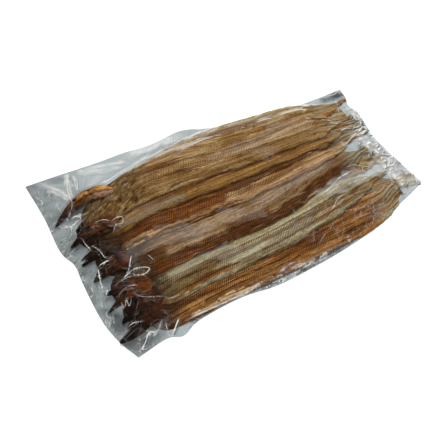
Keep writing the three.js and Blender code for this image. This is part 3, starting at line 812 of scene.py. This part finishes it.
def body_half_width(fish, x):
    front = np.clip((x - fish["line"][0][0]) / FRONT_ROUNDING, 0, 1)
    narrowing = 1 - (1 - fish["tip"]) * tail_taper(fish, x)
    return fish["half_width"] * np.sqrt(1 - (1 - front) ** 2) * narrowing


def uneven_half_width(fish, x):
    """Half width at x with its ragged edge, more so towards the tail."""
    seed = FISH.index(fish)
    ragged = RAGGED_BODY + RAGGED_TAIL * tail_taper(fish, x)
    return body_half_width(fish, x) * (1 + ragged * waves(x, seed * 40.0, 70 + seed, 60))


def body_section(fish, x, y):
    """At (x, y): half width, distance from the middle and from the backbone, thickness, curl."""
    seed = FISH.index(fish)
    half = uneven_half_width(fish, x)
    offset = y - smooth_line(fish["line"], x)
    side = np.clip(np.abs(offset) / np.maximum(half, 0.01), 0, 1)
    from_front = x - fish["line"][0][0]
    thin = 1 - (1 - TAIL_THICKNESS_SHARE) * tail_taper(fish, x)
    thin = thin * (1 - (1 - FRONT_THICKNESS_SHARE) * smoothstep(FRONT_THIN_LENGTH, 0, from_front))
    to_edge = np.clip(half - np.abs(offset), 0, None)
    rounding = np.sqrt(1 - (1 - np.clip(to_edge / EDGE_ROUNDING, 0, 1)) ** 2)
    crown = EDGE_SHARE + (1 - EDGE_SHARE) * (1 - side**2)
    from_spine = offset - fish["spine"] * half
    ridge = SPINE_HEIGHT * np.exp(-((from_spine / SPINE_HALF_WIDTH) ** 2))
    uneven = 1 + UNEVENNESS * waves(x * 0.35, y, 90 + seed, 30)
    thick = (FLESH_THICKNESS * crown * uneven + ridge) * thin * rounding
    curl = EDGE_CURL * smoothstep(0.7, 1, side) * (1 + waves(x, y, 110 + seed, 80)) * thin
    return half, offset, from_spine, thick, np.clip(curl, 0, MOST_CURL)


def lay_fish(fish, ground, mesh_counts):
    """Makes one fish lying on the ground raster and raises the raster to its top."""
    base = bridged(ground, FISH_REST_PASSES)
    rows_per_rib, columns, under_columns = mesh_counts
    start, end = fish["line"][0][0] + END_GAP, fish["line"][-1][0] - END_GAP
    step = RIB_PITCH / rows_per_rib
    rows = int((end - start) / step)
    spine_x = np.linspace(start, end, rows)[:, None]

    def surface(count, over):
        # The points lie closer together at the two edges.
        share = np.sin(np.linspace(-1, 1, count)[None] * math.pi / 2)
        half = body_half_width(fish, spine_x)
        ends = np.clip(np.minimum(spine_x - start, end - spine_x) / STRAIGHT_END, 0, 1)
        x = spine_x + RIB_LEAN * share * half * ends
        y = smooth_line(fish["line"], x) + share * uneven_half_width(fish, x)
        half, offset, from_spine, thick, curl = body_section(fish, x, y)
        z = sample(base, x, y) + curl + LAYER_GAP
        along = np.broadcast_to(spine_x - start, x.shape)
        to_edge = half - np.abs(offset)
        if over:
            ribbed = smoothstep(RIB_REACH, RIB_REACH - RIB_FADE, np.abs(from_spine))
            ribbed = ribbed * smoothstep(0, PLAIN_EDGE, to_edge)
            z = z + thick + RIB_HEIGHT * ribbed * np.sin(2 * math.pi * along / RIB_PITCH)
        return np.stack([x, y, z], -1), (along, from_spine, np.broadcast_to(share, x.shape), to_edge)

    top, top_values = surface(columns, True)
    low, low_values = surface(under_columns, False)
    count = rows * columns
    faces = [grid_faces(rows, columns), grid_faces(rows, under_columns, count, flip=True)]
    # The upper and lower faces are joined along both sides, and not at the two ends.
    i = np.arange(rows - 1)
    for top_j, low_j, flip in ((0, 0, False), (columns - 1, under_columns - 1, True)):
        a, b = i * columns + top_j, count + i * under_columns + low_j
        wall = np.stack([a, b, b + under_columns, a + columns], -1)
        faces.append(wall[:, ::-1] if flip else wall)
    points = np.vstack([top.reshape(-1, 3), low.reshape(-1, 3)])
    flat = [np.concatenate([a.ravel(), b.ravel()]) for a, b in zip(top_values, low_values)]
    piece = make_mesh(fish["name"], points, np.vstack(faces), dict(zip(FISH_VALUES, flat)),
                      fish_material(fish, FISH.index(fish) + 1))
    belongs(piece)
    half, offset, _, thick, curl = body_section(fish, GRID_X, GRID_Y)
    inside = (np.abs(offset) < half) & (GRID_X > start) & (GRID_X < end)
    ground[inside] = np.maximum(ground, base + thick + curl + LAYER_GAP)[inside]


# ---- heads
def lay_head(head, ground):
    """A long beaked head lying on its side, from its snout to the gill cover, on the ground raster."""
    seed = HEADS.index(head)
    rows, ring = HEAD_MESH
    a = np.linspace(0, 1, rows)[:, None]
    turn = np.linspace(0, 2 * math.pi, ring, endpoint=False)[None]
    tip, back = np.array(head["tip"], float), np.array(head["back"], float)
    length = np.linalg.norm(back - tip)
    axis = (back - tip) / length
    half_width, half_thickness = HEAD_HALF_WIDTH * head["size"], HEAD_HALF_THICKNESS * head["size"]
    rounded_back = np.clip((a - (1 - BACK_ROUNDING)) / BACK_ROUNDING, 0, 1)
    cap = np.sqrt(1 - rounded_back**2) * np.clip(a / SNOUT_ROUNDING, 0.05, 1) ** 0.5
    sine, cosine = np.sin(turn), np.cos(turn)
    upper, lower, fullness = (np.interp(a, *np.transpose(p)) for p in (HEAD_UPPER, HEAD_LOWER, HEAD_THICK))
    half = np.where(cosine > 0, upper, lower) * half_width * cap
    lateral = half * np.sign(cosine) * np.abs(cosine) ** BOXINESS
    rise = half_thickness * cap * fullness * np.sign(sine) * np.abs(sine) ** BOXINESS
    share = lateral / half_width
    # mouth groove, eye socket and ball, gill cover edge and dried wrinkles, on the upper side
    split = head["split"]
    mouth = np.exp(-((share + 0.06 + 0.2 * a) / 0.06) ** 2) * smoothstep(split, split - 0.08, a)
    eye_distance = np.hypot((a - EYE_ALONG) * length, (share - EYE_ACROSS) * half_width)
    socket = np.exp(-(((eye_distance - SOCKET_RADIUS) / 1.0) ** 2))
    ball = np.clip(1 - (eye_distance / BALL_RADIUS) ** 2, 0, 1)
    gill = np.exp(-((a - GILL_EDGE - 0.1 * share**2) / 0.015) ** 2)
    wrinkle = waves(a * length, lateral + 3.0 * seed, 300 + seed, 14, 6)
    top = smoothstep(0, 0.4, sine)
    rise = rise + top * (0.5 * socket + 1.0 * ball - 1.3 * mouth - 0.9 * gill + 0.35 * wrinkle * cap)
    lateral = lateral + head["bend"] * 4 * a * (1 - a)
    x = tip[0] + a * length * axis[0] - lateral * axis[1]
    y = tip[1] + a * length * axis[1] + lateral * axis[0]
    # the head lies on what is under it, from a low snout up to its back
    at = tip + np.outer(HEAD_RESTS, length * axis)
    under = sample(bridged(ground, HEAD_REST_PASSES), at[:, 0], at[:, 1])
    front_level = max(under[0], 0.4) + 1.5 * head["size"]
    back_level = under[1:].max() * 0.92 + half_thickness * 0.8
    z = np.maximum(front_level + (back_level - front_level) * np.minimum(a / 0.6, 1) + rise, 0.5)
    points = np.stack([x, y, z], -1).reshape(-1, 3)
    i, j = np.meshgrid(np.arange(rows - 1), np.arange(ring), indexing="ij")
    k = (j + 1) % ring
    quads = np.stack([i * ring + j, i * ring + k, (i + 1) * ring + k, (i + 1) * ring + j], -1)
    # the groove value marks where shade is painted into the mouth slit and along the gill cover's edge
    values = {"along": np.broadcast_to(a, share.shape), "across": share,
              "eye": smoothstep(0.1, 0.5, ball * top), "groove_shade": np.clip((mouth + gill * 0.7) * top, 0, 1)}
    piece = make_mesh(head["name"], points, quads.reshape(-1, 4), values, head_material(head, seed))
    belongs(piece)
    # raise the raster's four cells around each of the head's points
    cells = np.rint(points[:, :2] - [RASTER_X[0], RASTER_Y[0]]).astype(int)
    for shift in ((0, 0), (0, 1), (1, 0), (1, 1)):
        np.maximum.at(ground, tuple((cells + shift).T), points[:, 2])


# ---- film
def to_line(x, y, points, reach):
    """Where (x, y) is within reach of a line, as a mask; signed distance to it; share of its length."""
    points = np.array(points, float)
    if len(points) > 2:
        points = catmull_rom(points, 6)
    (x0, y0), (x1, y1) = points.min(0) - reach, points.max(0) + reach
    near = (x > x0) & (x < x1) & (y > y0) & (y < y1)
    px, py = x[near], y[near]
    best = np.full(px.size, np.inf)
    signed, share = np.zeros(px.size), np.zeros(px.size)
    run = np.concatenate([[0], np.cumsum(np.linalg.norm(np.diff(points, axis=0), axis=1))])
    for k in range(len(points) - 1):
        (ax, ay), (bx, by) = points[k], points[k + 1]
        length = max(run[k + 1] - run[k], 1e-6)
        t = np.clip(((px - ax) * (bx - ax) + (py - ay) * (by - ay)) / length**2, 0, 1)
        distance = np.hypot(px - ax - t * (bx - ax), py - ay - t * (by - ay))
        side = np.sign((bx - ax) * (py - ay) - (by - ay) * (px - ax))
        closer = distance < best
        best[closer] = distance[closer]
        signed[closer] = (distance * side)[closer]
        share[closer] = (run[k] + t[closer] * length) / run[-1]
    return near, signed, share


def wrinkle_film(x, y):
    """Height that creases add, distance to the nearest crease in its own half widths, strength of its
    painted glint (below 0: a painted dark shade line).
    """
    height, painted_lines = np.zeros_like(x), np.zeros_like(x)
    crease = np.full_like(x, NO_CREASE)

    def press(points, rise, half_width, glint_and_shade):
        foot = 1.2 + 1.2 * half_width
        near, signed, share = to_line(x, y, points, 3 * foot)
        ends = 0.15 + 0.85 * smoothstep(0, 0.2, share) * smoothstep(1, 0.8, share)
        tent = np.clip(1 - np.abs(signed) / foot, 0, 1)
        height[near] = np.maximum(height[near], rise * ends * tent)
        scaled = signed / half_width
        closer = np.abs(scaled) < np.abs(crease[near])
        crease[near] = np.where(closer, scaled, crease[near])
        painted_lines[near] = np.where(closer, glint_and_shade * ends, painted_lines[near])

    rng = np.random.default_rng(11)
    for x_range, y_range, count, lengths, top_rise, heading, spread, most in CRUMPLES:
        for _ in range(count):
            cx, cy = rng.uniform(*x_range), rng.uniform(*y_range)
            length = rng.uniform(*lengths)
            angle = math.radians(heading + rng.uniform(-1, 1) * spread)
            dx, dy = math.cos(angle) * length / 2, math.sin(angle) * length / 2
            bend = rng.uniform(-0.15, 0.15) * length
            middle = (cx - bend * math.sin(angle), cy + bend * math.cos(angle))
            glint_and_shade = most * rng.uniform(0.15, 1.0) * (1 if rng.random() < 0.75 else -1)
            half_width = rng.uniform(0.5, 1.0) * (1.5 if glint_and_shade < 0 else 1.0)
            press([(cx - dx, cy - dy), middle, (cx + dx, cy + dy)], top_rise * rng.uniform(0.4, 1.0),
                  half_width, glint_and_shade)
    for points, rise, half_width, glint_and_shade in CREASES:
        press(points, rise, CREASE_WIDTH_SHARE * half_width, glint_and_shade)
    return height, crease, painted_lines


def cover(x, y, places, seed, least=0.0):
    """The strongest of the places at each (x, y), each with an uneven border."""
    total = np.full_like(x, least)
    for k, (points, half_width, strength, soft) in enumerate(places, seed):
        near, signed, share = to_line(x, y, points, 2 * half_width)
        border = half_width * (1 + 0.35 * waves(x[near], y[near], k, 60)) - np.abs(signed)
        share = share + 0.08 * waves(x[near], y[near], 100 + k, 50)
        fade = 0.02 * soft
        ends = smoothstep(0.08, 0.08 + fade, share) * smoothstep(0.92, 0.92 - fade, share)
        total[near] = np.maximum(total[near], strength * smoothstep(0, soft, border) * ends)
    return total


def film_piece(name, grid, z, values, tint):
    points = np.dstack([grid, z]).reshape(-1, 3)
    piece = make_mesh(name, points, grid_faces(*z.shape), values, film_material(name, tint))
    belongs(piece)


def lay_film(ground):
    """The upper film: bridged over the fish and heads, creased, and sealed to the lower film."""
    along, across = FILM_CELLS
    grid = film_grid(along, across)
    x, y = grid[..., 0], grid[..., 1]
    top = ground.copy()
    for axis in (0, 1):
        top = np.maximum(top, np.maximum(np.roll(top, 1, axis), np.roll(top, -1, axis)))
    floor = top + FILM_CLEARANCE + RIM_HEIGHT * 0.5
    clinging = smoothstep(*HEAD_CLING, GRID_X) + smoothstep(*TAIL_CLING, GRID_X)
    skin = bridged(floor, SPAN_PASSES) * (1 - clinging) + bridged(floor, CLING_PASSES) * clinging
    z = np.maximum(sample(skin, x, y), RIM_HEIGHT)
    u, v = np.arange(along + 1)[:, None], np.arange(across + 1)[None]
    border = np.minimum(np.minimum(u, along - u), np.minimum(v, across - v))
    risen = smoothstep(0, SEAL_CELLS, border)
    height, crease, painted_lines = wrinkle_film(x, y)
    z = RIM_HEIGHT + (z - RIM_HEIGHT) * risen + height * (0.3 + 0.7 * risen)
    z += 0.2 * (1 + waves(x, y, 40, 26)) * risen
    rippled = [(line, half_width, strength, half_width) for line, half_width, strength in RIPPLED_PLACES]
    # painted shade towards the film's edge at the heads
    margin_shade = HEAD_MARGIN_SHADE * smoothstep(*HEAD_MARGIN, x)
    layers = (crease, painted_lines, cover(x, y, PALE_PLACES, 60, LEAST_SHEEN),
              np.maximum(cover(x, y, SHADED_PLACES, 90), margin_shade), cover(x, y, rippled, 120))
    film_piece("film_top", grid, z, dict(zip(FILM_VALUES, layers)), (249, 250, 250))


def lay_bottom_film():
    grid = film_grid(*BOTTOM_FILM_CELLS)
    z = BOTTOM_FILM_HEIGHT + 0.1 * waves(grid[..., 0], grid[..., 1], 5, 60)
    none = np.zeros_like(z)
    values = {**dict.fromkeys(FILM_VALUES, none), "crease": none + NO_CREASE}
    film_piece("film_bottom", grid, z, values, (207, 211, 212))


# ---- stage
def stage():
    n = Nodes("floor")
    place = n.node("TexCoord").outputs["Object"]
    tint = n.step(n.noise(place, 3.0), 0.3, 0.7)
    colour = n.mix(tint, linear((243, 243, 242)), linear((246, 246, 246)))
    mesh = bpy.data.meshes.new("floor")
    s = FLOOR_HALF_SIZE
    mesh.from_pydata([(-s, -s, 0), (s, -s, 0), (s, s, 0), (-s, s, 0)], [], [(0, 1, 2, 3)])
    mesh.materials.append(n.finish(n.node("BsdfPrincipled", Base_Color=colour, Roughness=0.8)))
    add("floor", mesh)


def area_light(name, place, side, power):
    """A square lamp that faces the middle of the frame and has no mirror image in the film."""
    lamp = bpy.data.lights.new(name, "AREA")
    lamp.size = side
    lamp.energy = power
    item = add(name, lamp)
    item.visible_glossy = False
    item.location = place
    item.rotation_euler = (-Vector(place)).to_track_quat("-Z", "Y").to_euler()


def camera():
    data = bpy.data.cameras.new("camera")
    data.sensor_width = SENSOR_MM
    data.lens = FOCAL_PIXELS / PHOTO_PIXELS * SENSOR_MM
    item = add("camera", data)
    item.location = Vector(CAMERA_PLACE) * MM
    item.rotation_euler = (math.pi / 2 - CAMERA_DOWN, 0, -CAMERA_HEADING)
    bpy.context.scene.camera = item


def light():
    world = bpy.data.worlds.new("studio")
    world.use_nodes = True
    sky = world.node_tree.nodes["Background"]
    sky.inputs["Color"].default_value = (1, 1, 1, 1)
    sky.inputs["Strength"].default_value = SKY_STRENGTH
    bpy.context.scene.world = world
    for lamp in LAMPS:
        area_light(*lamp)
    bpy.context.scene.view_settings.view_transform = "Standard"


camera()
stage()
light()

ground = np.zeros_like(GRID_X)
for fish in FISH[:len(LOW_FISH)]:
    lay_fish(fish, ground, LOW_FISH_MESH)
for head in HEADS[:len(LOW_HEADS)]:
    lay_head(head, ground)
for fish in FISH[len(LOW_FISH):]:
    lay_fish(fish, ground, TOP_FISH_MESH)
for head in HEADS[len(LOW_HEADS):]:
    lay_head(head, ground)
lay_bottom_film()
lay_film(ground)
